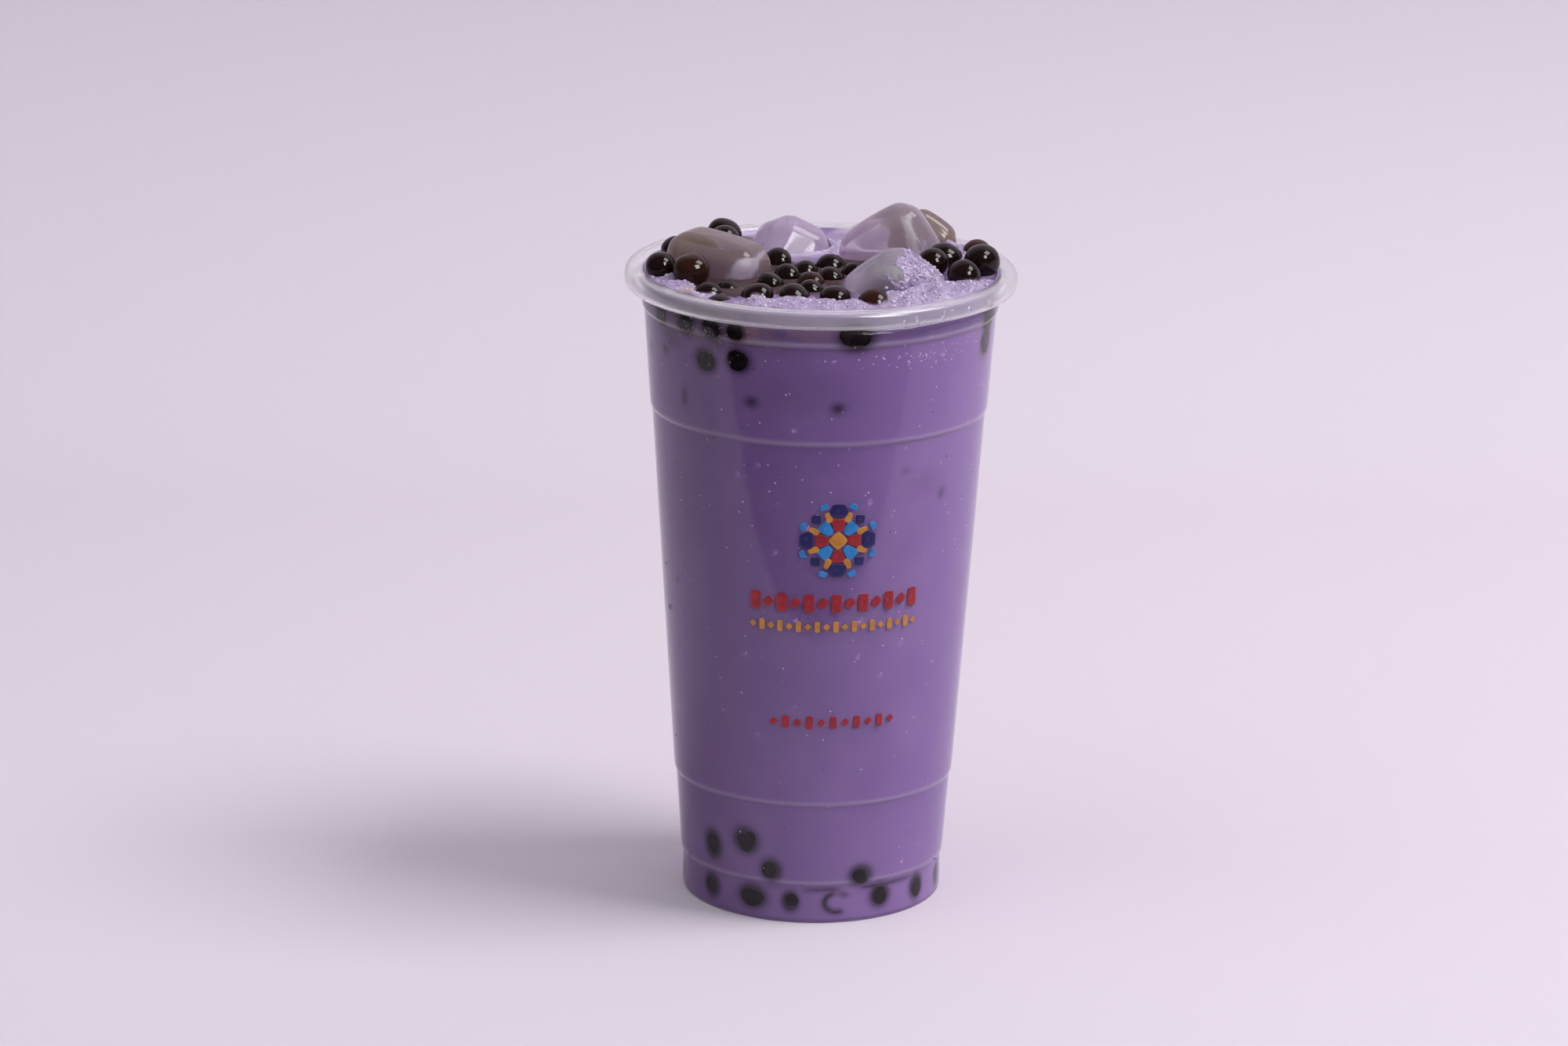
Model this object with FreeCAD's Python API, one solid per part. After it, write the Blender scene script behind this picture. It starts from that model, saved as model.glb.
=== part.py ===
import FreeCAD, Part
import math
import os

Vector = FreeCAD.Vector
Rotation = FreeCAD.Rotation

# Ube milk tea in a clear 700 ml takeaway cup, filled to the brim, with ice and tapioca pearls on top.
# Millimetres. Z is up, the cup stands on Z = 0 about the Z axis, and its printed side faces -Y.

# Cup: thin moulded polypropylene, stepped outwards at four rings, with a rolled rim
cup_height = 157.4
rim_radius = 47.5
rim_overhang = 4.3        # from the neck's outside to the rim's outside
rim_depth = 4.6           # height of the rolled rim
rim_round = 1.3           # inside radius of the roll's upper corners
rim_lower_round = 0.9     # inside radius of the roll's lower corner
rim_lip = 1.5             # slit between the roll's end and the neck
base_radius = 31.9
wall = 0.6
ring_step = 0.5           # how far the wall steps out at a ring
ring_slope = 0.9          # height over which it steps out
heel_height = 9.7         # first ring, above the table
low_ring_height = 30.5    # second ring, above the table
high_ring_drop = 34.6     # third ring, below the rim's top
neck_ring_drop = 10.0     # fourth ring, below the rim's top
heel_round = 1.2          # outside corner at the foot
foot_width = 3.2          # width of the ring that the cup stands on
foot_rise = 1.0           # how far the floor is lifted off the table
foot_slope = 0.8          # width of the slope between that ring and the floor

# Drink, and the clearances of what lies in it
brim_drop = 1.6           # drink level below the rim's top
cup_film = 0.05           # between the drink and the cup
float_film = 0.05         # between the drink or froth and what floats in it
touch = 0.3               # between two floating pieces, or one and the wall

# Tapioca pearls
pearl_diameter = 8.9

# Ice cubes
ice_melt = 6.0            # radius that melting has given every edge
most_melt = 0.48          # that radius over the shortest side, at most

# Froth
froth_height = 2.4        # height of a bubble bank where its rise is 1

# Places are a bearing (degrees, anticlockwise from +X) and a share of the mouth's radius.
# A pearl's rise is the height of its centre above the drink as a share of its radius, and its size is a
# share of the pearl diameter. A froth mound's rise is a share of the froth height.
ICE = {
    # name: (bearing, share, top above the drink, (width, depth, height), (turn, lean, roll))
    "ice_left": (180, 0.605, 10.4, (26.0, 18.0, 23.0), (-26, 6, 9)),
    "ice_middle": (108, 0.62, 8.9, (18.0, 18.0, 19.0), (24, 22, 32)),
    "ice_back": (43, 0.60, 14.2, (24.0, 13.0, 21.0), (-6, 4, -32)),
    "ice_far": (45, 0.89, 10.4, (15.0, 9.0, 15.0), (-14, 0, 34)),
    "ice_front": (318, 0.555, 11.2, (22.0, 18.0, 22.0), (4, -26, 44)),
}

PEARLS = {
    # name: ((bearing, share, rise, size), ...)
    "pearl_left": ((190, 0.93, 0.72, 0.86), (197, 0.76, 0.64, 1.10), (158, 0.86, 0.36, 0.86)),
    "pearl_front_left": (
        (221, 0.84, -0.10, 0.83), (219, 0.67, -0.40, 0.79), (232, 0.91, -0.45, 0.81),
        (241, 0.73, -0.05, 0.97), (231, 0.45, 0.05, 0.79),
    ),
    "pearl_front": (
        (257, 0.62, -0.05, 0.90), (277, 0.65, 0.05, 0.88), (262, 0.48, 0.00, 0.74),
        (291, 0.80, 0.05, 0.90), (280, 0.84, -0.30, 0.72),
    ),
    "pearl_middle": (
        (145, 0.30, 0.20, 0.83), (222, 0.26, 0.15, 0.77), (193, 0.09, 0.05, 0.75), (63, 0.13, -0.05, 0.90),
        (261, 0.30, 0.05, 0.77), (304, 0.30, 0.00, 0.77), (342, 0.20, 0.00, 0.77),
    ),
    "pearl_right": (
        (14, 0.64, 0.55, 1.05), (354, 0.64, 0.92, 0.88), (341, 0.79, 0.50, 0.98),
        (358, 0.93, 0.75, 1.06), (14, 0.96, 0.70, 0.88), (6, 0.46, 0.45, 0.80),
    ),
    "pearl_back": (
        (148, 0.65, 1.15, 0.86), (137, 0.79, 0.80, 1.00), (146, 0.93, 0.00, 0.90),
        (128, 0.93, -0.25, 0.80),
    ),
}

FROTH = {
    # name: ((bearing, share, radius, rise), ...)
    "froth_left": ((196, 0.92, 5.5, 0.9), (209, 0.94, 6.0, 1.0), (223, 0.95, 6.0, 0.9)),
    "froth_front": (
        (247, 0.90, 7.0, 1.0), (259, 0.88, 8.0, 1.3), (271, 0.90, 7.5, 1.2), (282, 0.90, 7.0, 1.0),
        (293, 0.93, 6.0, 0.7), (306, 0.85, 9.0, 1.6), (318, 0.85, 8.5, 1.6), (331, 0.88, 7.5, 1.2),
        (343, 0.93, 6.0, 0.9),
    ),
    "froth_right": ((8, 0.80, 7.0, 1.4), (20, 0.84, 8.5, 2.2), (33, 0.78, 8.0, 2.0)),
    "froth_back": ((88, 0.62, 8.5, 0.7), (98, 0.78, 7.0, 0.6)),
}

neck_radius = rim_radius - rim_overhang
mouth_radius = neck_radius - wall
level = cup_height - brim_drop
floor_top = foot_rise + wall
ring_heights = (heel_height, low_ring_height, cup_height - high_ring_drop, cup_height - neck_ring_drop)
draft = (neck_radius - base_radius - len(ring_heights) * ring_step) / (ring_heights[-1] - ring_heights[0])


def wall_corners(inset):
    """Corners of the cup's side from the foot to the neck, moved inwards by inset.

    The heel and the neck are upright. Between them the side leans out evenly, and it steps out at each ring.
    """
    radius = base_radius - inset
    corners = [(radius, ring_heights[0], 0)]
    for ring, height in enumerate(ring_heights):
        if ring:
            radius += draft * (height - ring_heights[ring - 1])
            corners.append((radius, height, 0))
        radius += ring_step
        corners.append((radius, height + ring_slope, 0))
    return corners


def side_radius(height, inset):
    """Radius of the cup's side at a height, moved inwards by inset."""
    corners = wall_corners(inset)
    for (r0, z0, _), (r1, z1, _) in zip(corners, corners[1:]):
        if z0 <= height <= z1:
            return r0 + (r1 - r0) * (height - z0) / (z1 - z0)
    return corners[-1][0] if height > corners[-1][1] else corners[0][0]


def rounded_face(corners):
    """Closed face in the XZ plane with a straight side between corners (x, z, rounding radius)."""
    edges = []
    starts = []
    points = [Vector(x, 0, z) for x, z, _ in corners]
    count = len(points)
    for i, (_, _, radius) in enumerate(corners):
        here = points[i]
        if not radius:
            starts.append((here, here))
            continue
        before = (points[i - 1] - here).normalize()
        after = (points[(i + 1) % count] - here).normalize()
        half = before.getAngle(after) / 2
        reach = radius / math.tan(half)
        centre = here + (before + after).normalize() * (radius / math.sin(half))
        first = here + before * reach
        last = here + after * reach
        middle = centre + (here - centre).normalize() * radius
        edges.append((i, Part.Arc(first, middle, last).toShape()))
        starts.append((first, last))
    for i in range(count):
        leave = starts[i][1]
        arrive = starts[(i + 1) % count][0]
        edges.append((i + 0.5, Part.LineSegment(leave, arrive).toShape()))
    wire = Part.Wire([edge for _, edge in sorted(edges, key=lambda item: item[0])])
    return Part.Face(wire)


def turned(face):
    """Solid of a face in the XZ plane turned about the Z axis."""
    return face.revolve(Vector(0, 0, 0), Vector(0, 0, 1), 360)


def make_cup():
    """Thin cup with a lifted floor, four rings and a rim rolled outwards and down."""
    foot_inner = base_radius - foot_width
    roll_end = neck_radius + rim_lip
    rim_low = cup_height - rim_depth
    outside = [
        (0, foot_rise, 0),
        (foot_inner - foot_slope, foot_rise, 0),
        (foot_inner, 0, 0),
        (base_radius, 0, heel_round),
    ]
    roll = [
        (neck_radius, cup_height - wall, rim_round),
        (rim_radius - wall, cup_height - wall, rim_round),
        (rim_radius - wall, rim_low + wall, rim_lower_round),
        (roll_end, rim_low + wall, 0),
        (roll_end, rim_low, 0),
        (rim_radius, rim_low, rim_lower_round + wall),
        (rim_radius, cup_height, rim_round + wall),
        (mouth_radius, cup_height, rim_round + wall),
    ]
    inside = [(base_radius - wall, floor_top, heel_round), (0, floor_top, 0)]
    side = wall_corners(0)
    lining = list(reversed(wall_corners(wall)))
    return turned(rounded_face(outside + side + roll + lining + inside))


def make_filling(top):
    """Solid that fills the cup, cup_film clear of it, up to the height top."""
    inset = wall + cup_film
    corners = [(0, floor_top + cup_film, 0), (base_radius - inset, floor_top + cup_film, heel_round)]
    corners += wall_corners(inset)
    corners += [(mouth_radius - cup_film, top, 0), (0, top, 0)]
    return turned(rounded_face(corners))


class Floater:
    """A pearl or an ice cube: its centre, its half sizes without the rounding, its rounding and its turn."""

    def __init__(self, centre, core, rounding, turn):
        self.centre = centre
        self.core = core
        self.rounding = rounding
        self.turn = turn
        shares = (-1, 0, 1) if any(core) else (0,)
        self.core_points = [
            turn.multVec(Vector(x * core[0], y * core[1], z * core[2]))
            for x in shares for y in shares for z in shares
        ]

    def half_height(self):
        return max(point.z for point in self.core_points) + self.rounding

    def distance(self, point):
        """From a point to the surface, below zero inside."""
        local = self.turn.inverted().multVec(point - self.centre)
        over = [abs(value) - half for value, half in zip((local.x, local.y, local.z), self.core)]
        outside = math.sqrt(sum(max(value, 0) ** 2 for value in over))
        return outside + min(max(over), 0) - self.rounding

    def clearance(self, other):
        """Smallest gap between two floaters, measured from the core points of each."""
        gaps = [other.distance(self.centre + point) - self.rounding for point in self.core_points]
        gaps += [self.distance(other.centre + point) - other.rounding for point in other.core_points]
        return min(gaps)

    def keep_inside(self):
        """Slide it towards the axis until it clears the cup."""
        for point in self.core_points:
            corner = self.centre + point
            out = math.hypot(corner.x, corner.y)
            excess = out - room(corner.z, self.rounding)
            if excess > 0:
                self.centre = self.centre - Vector(corner.x, corner.y, 0) * (excess / out)


def room(height, rounding):
    """Furthest that a ball's centre at a height may lie from the axis, clear of the side and the rim."""
    edge = rim_round + wall
    reach = rounding + edge + touch
    above = height - (cup_height - edge)
    if above <= 0:
        return side_radius(height - rounding, wall) - touch - rounding
    if above >= reach:
        return mouth_radius
    return min(mouth_radius, mouth_radius + edge - math.sqrt(reach ** 2 - above ** 2))


def away(mover, other):
    """Level direction that takes mover away from other."""
    step = mover.centre - other.centre
    step.z = 0
    return step.normalize() if step.Length > 1e-6 else Vector(1, 0, 0)


def spread(floaters, fixed):
    """Slide floaters apart on the level until they clear each other, what is fixed and the cup."""
    rounds = 300
    slack = 0.01
    for _ in range(rounds):
        moved = False
        for i, first in enumerate(floaters):
            for second in floaters[i + 1:]:
                gap = first.clearance(second)
                if gap < touch:
                    push = away(first, second) * ((touch - gap) / 2 + slack)
                    first.centre = first.centre + push
                    second.centre = second.centre - push
                    moved = True
            for block in fixed:
                gap = first.clearance(block)
                if gap < touch:
                    first.centre = first.centre + away(first, block) * (touch - gap + slack)
                    moved = True
            first.keep_inside()
        if not moved:
            break


def lift_clear(floaters, fixed):
    """Raise each floater in turn, in small steps, until it clears the ones before it."""
    step = 0.1
    settled = list(fixed)
    for floater in floaters:
        while any(floater.clearance(other) < touch for other in settled):
            floater.centre = floater.centre + Vector(0, 0, step)
        settled.append(floater)


def polar(bearing, share, height):
    """Point at a bearing and a share of the mouth's radius."""
    angle = math.radians(bearing)
    reach = share * mouth_radius
    return Vector(reach * math.cos(angle), reach * math.sin(angle), height)


def place_ice():
    """Ice cubes by name, tilted, with their tops at the stated height above the drink."""
    cubes = {}
    for name, (bearing, share, top, sides, (turn, lean, roll)) in ICE.items():
        rounding = min(ice_melt, most_melt * min(sides))
        core = [side / 2 - rounding for side in sides]
        tilt = Rotation(Vector(1, 0, 0), -lean) * Rotation(Vector(0, 1, 0), roll)
        cube = Floater(polar(bearing, share, level), core, rounding, Rotation(Vector(0, 0, 1), turn) * tilt)
        cube.centre.z = level + top - cube.half_height()
        cube.keep_inside()
        cubes[name] = cube
    spread(list(cubes.values()), [])
    lift_clear(cubes.values(), [])
    return cubes


def place_pearls(cubes):
    """Pearls by name, floating between the ice cubes."""
    pearls = {}
    for prefix, places in PEARLS.items():
        for order, (bearing, share, rise, size) in enumerate(places, 1):
            radius = size * pearl_diameter / 2
            centre = polar(bearing, share, level + rise * radius)
            pearls[f"{prefix}_{order}"] = Floater(centre, (0, 0, 0), radius, Rotation())
    spread(list(pearls.values()), list(cubes.values()))
    lift_clear(pearls.values(), cubes.values())
    return pearls


def ice_shape(cube, grow):
    """Cube with every edge melted round, grown by grow on all sides."""
    half = [side + cube.rounding + grow for side in cube.core]
    block = Part.makeBox(2 * half[0], 2 * half[1], 2 * half[2], Vector(-half[0], -half[1], -half[2]))
    block = block.makeFillet(cube.rounding + grow, block.Edges)
    block.Placement = FreeCAD.Placement(cube.centre, cube.turn)
    return block


def pearl_shape(pearl, grow):
    """Ball, grown by grow all round."""
    return Part.makeSphere(pearl.rounding + grow, pearl.centre)


def mound_shape(centre, radius, height):
    """Cap of a ball, with its level base on the drink."""
    ball = (radius ** 2 + height ** 2) / (2 * height)
    cap = Part.makeSphere(ball, centre + Vector(0, 0, height - ball))
    return cap.common(Part.makeCylinder(2 * radius, 2 * height, centre))


def froth_bank(mounds, taken):
    """Overlapping low mounds on the drink, trimmed to the cup and to what is already there."""
    caps = [
        mound_shape(polar(bearing, share, level), radius, rise * froth_height)
        for bearing, share, radius, rise in mounds
    ]
    trim = Part.makeCylinder(mouth_radius - cup_film, cup_height, Vector(0, 0, level))
    return caps[0].fuse(caps[1:]).common(trim).cut(taken).removeSplitter()


os.makedirs("parts", exist_ok=True)
cubes = place_ice()
pearls = place_pearls(cubes)

taken = [ice_shape(cube, float_film) for cube in cubes.values()]
taken += [pearl_shape(pearl, float_film) for pearl in pearls.values()]

parts = {"cup": make_cup(), "milk_tea": make_filling(level).cut(taken)}
for name, mounds in FROTH.items():
    parts[name] = froth_bank(mounds, taken)
    taken.append(parts[name])
for name, cube in cubes.items():
    parts[name] = ice_shape(cube, 0)
for name, pearl in pearls.items():
    parts[name] = pearl_shape(pearl, 0)

for name, shape in parts.items():
    print(name, len(shape.Solids), round(shape.Volume, 1), shape.isValid())
    shape.exportStep(f"parts/{name}.step")
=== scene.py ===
import bpy
import numpy as np
from mathutils import Matrix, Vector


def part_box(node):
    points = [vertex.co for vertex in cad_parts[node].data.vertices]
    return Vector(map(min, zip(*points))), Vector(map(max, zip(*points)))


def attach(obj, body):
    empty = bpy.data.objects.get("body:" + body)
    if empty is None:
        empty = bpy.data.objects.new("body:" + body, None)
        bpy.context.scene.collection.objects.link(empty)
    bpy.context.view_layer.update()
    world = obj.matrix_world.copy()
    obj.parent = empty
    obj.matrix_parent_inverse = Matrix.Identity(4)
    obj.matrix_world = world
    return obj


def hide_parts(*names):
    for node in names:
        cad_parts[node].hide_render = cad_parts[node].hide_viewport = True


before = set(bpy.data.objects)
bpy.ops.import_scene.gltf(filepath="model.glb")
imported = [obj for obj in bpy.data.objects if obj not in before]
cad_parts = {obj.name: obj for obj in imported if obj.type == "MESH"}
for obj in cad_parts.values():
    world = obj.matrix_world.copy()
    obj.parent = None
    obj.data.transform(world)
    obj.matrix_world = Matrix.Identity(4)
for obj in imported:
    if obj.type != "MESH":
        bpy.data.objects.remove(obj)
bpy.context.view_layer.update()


# ---- Table and backdrop ----
# A pale lilac sweep of matt paper, laid flat under the cup and bent up behind it. Seen from behind, its upright
# part is left out. In mirror reflections it is painted near black from a little in front of the cup onwards: a
# painted reflection of a dark room.

def new_material(name):
    """(material, its node tree, its Principled shader)."""
    material = bpy.data.materials.new(name)
    material.use_nodes = True
    tree = material.node_tree
    return material, tree, tree.nodes["Principled BSDF"]


def add_mesh(name, points, faces, material, smooth=True, **fields):
    """Mesh object at the origin. Each further field is a number per point that the material can read."""
    mesh = bpy.data.meshes.new(name)
    mesh.from_pydata(points.reshape(-1, 3).tolist(), [], faces)
    mesh.polygons.foreach_set("use_smooth", np.full(len(mesh.polygons), smooth))
    for field, values in fields.items():
        layer = mesh.attributes.new(field, "FLOAT", "POINT")
        layer.data.foreach_set("value", np.ascontiguousarray(values, np.float32).ravel())
    mesh.materials.append(material)
    item = bpy.data.objects.new(name, mesh)
    bpy.context.scene.collection.objects.link(item)
    return item


def quads(rows, columns, wrap=False):
    """Faces of a grid of points, row by row, joined round from its last column to its first if wrap is set."""
    row, column = np.meshgrid(np.arange(rows - 1), np.arange(columns if wrap else columns - 1), indexing="ij")
    beside = (column + 1) % columns
    corners = [row * columns + column, row * columns + beside, (row + 1) * columns + beside,
               (row + 1) * columns + column]
    return np.stack([corner.ravel() for corner in corners], 1)


def blend(tree, share, first, second):
    """Colour between two colours or outputs."""
    node = tree.nodes.new("ShaderNodeMix")
    node.data_type = "RGBA"
    sockets = [item for item in node.inputs if item.name == "Factor"][:1]
    sockets += [item for item in node.inputs if item.type == "RGBA"]
    for socket, value in zip(sockets, (share, first, second)):
        if isinstance(value, bpy.types.NodeSocket):
            tree.links.new(value, socket)
        else:
            socket.default_value = value
    return next(item for item in node.outputs if item.type == "RGBA")


def product(tree, first, second):
    """Output that is the product of two outputs."""
    node = tree.nodes.new("ShaderNodeMath")
    node.operation = "MULTIPLY"
    tree.links.new(first, node.inputs[0])
    tree.links.new(second, node.inputs[1])
    return node.outputs["Value"]


def clear_where(tree, shader, share):
    """The material lets light straight through in a share given by an output, and is the shader elsewhere."""
    clear = tree.nodes.new("ShaderNodeBsdfTransparent")
    mix = tree.nodes.new("ShaderNodeMixShader")
    tree.links.new(share, mix.inputs["Fac"])
    tree.links.new(shader.outputs["BSDF"], mix.inputs[1])
    tree.links.new(clear.outputs["BSDF"], mix.inputs[2])
    tree.links.new(mix.outputs["Shader"], tree.nodes["Material Output"].inputs["Surface"])


lilac = (0.650, 0.602, 0.665, 1)
dark_room = (0.03, 0.027, 0.03, 1)
table_edge = -0.2
edge_blur = 0.007
paper, tree, shader = new_material("paper")
shader.inputs["Roughness"].default_value = 0.9
shader.inputs["Specular IOR Level"].default_value = 0.1
light_path = tree.nodes.new("ShaderNodeLightPath").outputs
place = tree.nodes.new("ShaderNodeSeparateXYZ")
tree.links.new(tree.nodes.new("ShaderNodeTexCoord").outputs["Object"], place.inputs["Vector"])
beyond = tree.nodes.new("ShaderNodeMapRange")
beyond.inputs["From Min"].default_value = table_edge - edge_blur
beyond.inputs["From Max"].default_value = table_edge + edge_blur
beyond.inputs["To Min"].default_value = 1
beyond.inputs["To Max"].default_value = 0
tree.links.new(place.outputs["Y"], beyond.inputs["Value"])
# Painted reflection: past the table edge, mirror rays see the paper as near black, like a dark room
past_table = product(tree, beyond.outputs["Result"], light_path["Is Glossy Ray"])
tree.links.new(blend(tree, past_table, lilac, dark_room), shader.inputs["Base Color"])
behind = tree.nodes.new("ShaderNodeNewGeometry").outputs["Backfacing"]
clear_where(tree, shader, product(tree, behind, light_path["Is Camera Ray"]))

bend = 0.16
back = 0.50
front, top, half_width = -4.0, 3.0, 3.0
angle = np.linspace(0, np.pi / 2, 24)
profile = np.concatenate([
    np.array([[front, 0]]),
    np.stack([back - bend + bend * np.sin(angle), bend - bend * np.cos(angle)], 1),
    np.array([[back, top]]),
])
across = np.array([[-half_width, half_width]])
sweep = np.stack(np.broadcast_arrays(across, profile[:, :1], profile[:, 1:]), 2)
floor = add_mesh("floor", sweep, quads(len(profile), 2).tolist(), paper)


# ---- Light and camera ----
# A large soft window stands on the right above the cup, and a weak reflector on the left, in an even light from
# all round. A small window nearer the front only gives the wet pieces their highlights. A long lens looks down
# at the cup.

world = bpy.data.worlds.new("room")
bpy.context.scene.world = world
world.use_nodes = True
sky = world.node_tree.nodes["Background"]
sky.inputs["Color"].default_value = (0.92, 0.90, 0.94, 1)
rays = world.node_tree.nodes.new("ShaderNodeLightPath")
dim = world.node_tree.nodes.new("ShaderNodeMapRange")
light_all_round, mirrored_light = 0.58, 0.10
dim.inputs["To Min"].default_value = light_all_round
dim.inputs["To Max"].default_value = mirrored_light
world.node_tree.links.new(rays.outputs["Is Glossy Ray"], dim.inputs["Value"])
world.node_tree.links.new(dim.outputs["Result"], sky.inputs["Strength"])


def aim(place, target, roll=0.0):
    """Matrix of a lamp or camera at a place that looks at a target, turned by roll in radians."""
    back = np.array(place, float) - np.array(target, float)
    back /= np.linalg.norm(back)
    right = np.cross((0, 0, 1), back)
    right /= np.linalg.norm(right)
    up = np.cross(back, right)
    tilted = np.cos(roll) * right + np.sin(roll) * up
    raised = -np.sin(roll) * right + np.cos(roll) * up
    matrix = np.eye(4)
    matrix[:3, 0], matrix[:3, 1], matrix[:3, 2], matrix[:3, 3] = tilted, raised, back, place
    return Matrix(matrix.tolist())


def add_window(name, place, target, size, power, colour, diffuse=True, glossy=True):
    """Rectangular soft light. Without diffuse only shiny surfaces show it, without glossy they never do."""
    lamp = bpy.data.lights.new(name, "AREA")
    lamp.shape = "RECTANGLE"
    lamp.size, lamp.size_y = size
    lamp.energy = power
    lamp.color = colour
    item = bpy.data.objects.new(name, lamp)
    item.matrix_world = aim(place, target)
    item.visible_diffuse = item.visible_transmission = diffuse
    item.visible_glossy = glossy
    bpy.context.scene.collection.objects.link(item)


add_window("window", (0.75, -0.14, 1.30), (0, 0, 0.08), (0.65, 0.65), 15.6, (1.0, 0.975, 0.99))
add_window("front_window", (0.66, -0.84, 0.92), (0, 0, 0.15), (0.42, 0.56), 17, (1.0, 0.98, 1.0),
           diffuse=False)
add_window("reflector", (-0.62, -0.25, 0.85), (0, 0, 0.08), (0.9, 0.9), 1.6, (1.0, 0.97, 1.0), glossy=False)

lens = bpy.data.cameras.new("camera")
lens.lens = 138.6
lens.sensor_width = 36
lens.clip_start, lens.clip_end = 0.05, 20
camera = bpy.data.objects.new("camera", lens)
sight = np.array((-0.00802, 0, 0.0925))
distance, tilt, roll = 1.4767, np.radians(16.07), np.radians(0.85)
camera.matrix_world = aim(sight + distance * np.array((0, -np.cos(tilt), np.sin(tilt))), sight, roll)
bpy.context.scene.collection.objects.link(camera)
bpy.context.scene.camera = camera
bpy.context.scene.view_settings.view_transform = "Standard"


# ---- Cup ----
# Thin clear polypropylene, moulded in one. The heel and the neck are upright, the side between them leans out
# and steps out at four rings, and the rim is rolled outwards and down. The rolled part is a piece of its own
# here, because its doubled, cloudy wall scatters more light.

mm = 0.001
cup_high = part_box("cup")[1]
height = cup_high.z / mm
rim_radius = cup_high.x / mm
neck = rim_radius - 4.3
wall = 0.6
foot = 31.9
rings = np.array((9.7, 30.5, height - 34.6, height - 10.0))
step_out, step_rise = 0.5, 0.9
ring_rounding = 0.5
mouth = neck - wall
floor_under, floor_top = 1.0, 1.6
roll_start = height - 5.4
flange_foot, lip_end = height - 4.6, height - 4.0
cup_sides = 480


def side_corners(inset):
    """Corners (radius, height, rounding) of the side from the first ring to the neck, moved inwards by inset.

    It leans out evenly, and its radius grows by step_out over a rise of step_rise at each ring.
    """
    lean = (neck - foot - len(rings) * step_out) / (rings[-1] - rings[0])
    steps = np.arange(len(rings))
    low = foot - inset + lean * (rings - rings[0]) + steps * step_out
    soft = np.full(len(rings), ring_rounding)
    under = np.stack([low, rings, soft], 1)
    over = np.stack([low + step_out, rings + step_rise, soft], 1)
    return np.stack([under, over], 1).reshape(-1, 3)


def side_radius(z, inset=0.0):
    """Radius of the side at a height, moved inwards by inset."""
    corners = side_corners(inset)
    return np.interp(z, corners[:, 1], corners[:, 0])


def rounded(corners, arc=7, most=2.5):
    """Profile (radius, height) through corners (radius, height, rounding), with an arc at each rounded corner.

    The arc's centre lies on the line that halves the corner, at the rounding over the sine of half the corner's
    angle. Straight runs longer than most are split evenly.
    """
    corners = np.array(corners, float)
    line = [corners[0, :2]]
    for before, here, after in zip(corners, corners[1:], corners[2:]):
        a = before[:2] - here[:2]
        b = after[:2] - here[:2]
        a_length, b_length = np.linalg.norm(a), np.linalg.norm(b)
        a, b = a / a_length, b / b_length
        half = np.arccos(np.clip(a @ b, -1, 1)) / 2
        reach = here[2] / np.tan(half)
        if here[2] and reach:
            centre = here[:2] + (a + b) / np.linalg.norm(a + b) * here[2] / np.sin(half)
            share = np.linspace(-1, 1, arc)[:, None] * (np.pi / 2 - half)
            axis = (here[:2] - centre) / np.linalg.norm(here[:2] - centre)
            across = np.array((-axis[1], axis[0]))
            across *= np.sign((b - a) @ across)
            line += list(centre + here[2] * (np.cos(share) * axis + np.sin(share) * across))
        else:
            line.append(here[:2])
    line.append(corners[-1, :2])
    line = np.array(line)
    run = np.concatenate([[0], np.cumsum(np.linalg.norm(np.diff(line, axis=0), axis=1))])
    extra = [np.linspace(a, b, int((b - a) // most) + 2)[1:-1] for a, b in zip(run, run[1:]) if b - a > most]
    every = np.sort(np.concatenate([run] + extra))
    return np.stack([np.interp(every, run, line[:, 0]), np.interp(every, run, line[:, 1])], 1)


def skin(rings_of_points, first, last):
    """(points, faces) of a closed skin through rings of points, ended by a fan to a point at each end.

    It faces outwards where the rings run anticlockwise and follow each other upwards.
    """
    count, around = rings_of_points.shape[:2]
    points = np.concatenate([rings_of_points.reshape(-1, 3), [first], [last]])
    here = np.arange(around)
    beside = (here + 1) % around
    base = (count - 1) * around
    low = np.stack([np.full(around, count * around), beside, here], 1)
    high = np.stack([np.full(around, count * around + 1), base + here, base + beside], 1)
    return points, quads(count, around, True).tolist() + low.tolist() + high.tolist()


def turned(profile, around):
    """Rings of points, in metres, of a profile (radius, height) in millimetres that is turned about Z."""
    angle = np.arange(around) * 2 * np.pi / around
    radius, z = profile[:, :1], profile[:, 1:]
    return mm * np.stack([radius * np.cos(angle), radius * np.sin(angle), z + 0 * angle], 2)


body_outline = rounded([
    (0, floor_under, 0), (foot - 4.0, floor_under, 0.4), (foot - 3.2, 0, 0.4), (foot, 0, 1.2), *side_corners(0),
    (neck, roll_start, 0), (mouth, roll_start, 0), *side_corners(wall)[::-1],
    (foot - wall, floor_top, 1.2), (0, floor_top, 0),
])
rim_outline = rounded([
    (neck, roll_start, 0), (neck, height - wall, 1.3), (rim_radius - wall, height - wall, 1.3),
    (rim_radius - wall, lip_end, 0.9), (neck + 1.5, lip_end, 0), (neck + 1.5, flange_foot, 0.2),
    (rim_radius, flange_foot, 1.5), (rim_radius, height, 1.9), (mouth, height, 1.9),
    (mouth, roll_start, 0), (neck, roll_start, 0),
])


def let_light_through(tree, shader):
    """Shadow rays pass the piece, so that light reaches what is inside."""
    clear_where(tree, shader, tree.nodes.new("ShaderNodeLightPath").outputs["Is Shadow Ray"])


def clear_plastic(name, colour, haze, rough, ior):
    """Clear plastic that lets haze of the light scatter at its surface."""
    material, tree, shader = new_material(name)
    shader.inputs["Base Color"].default_value = colour
    shader.inputs["Metallic"].default_value = 0
    shader.inputs["Transmission Weight"].default_value = 1 - haze
    shader.inputs["IOR"].default_value = ior
    shader.inputs["Roughness"].default_value = rough
    let_light_through(tree, shader)
    return material


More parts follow.
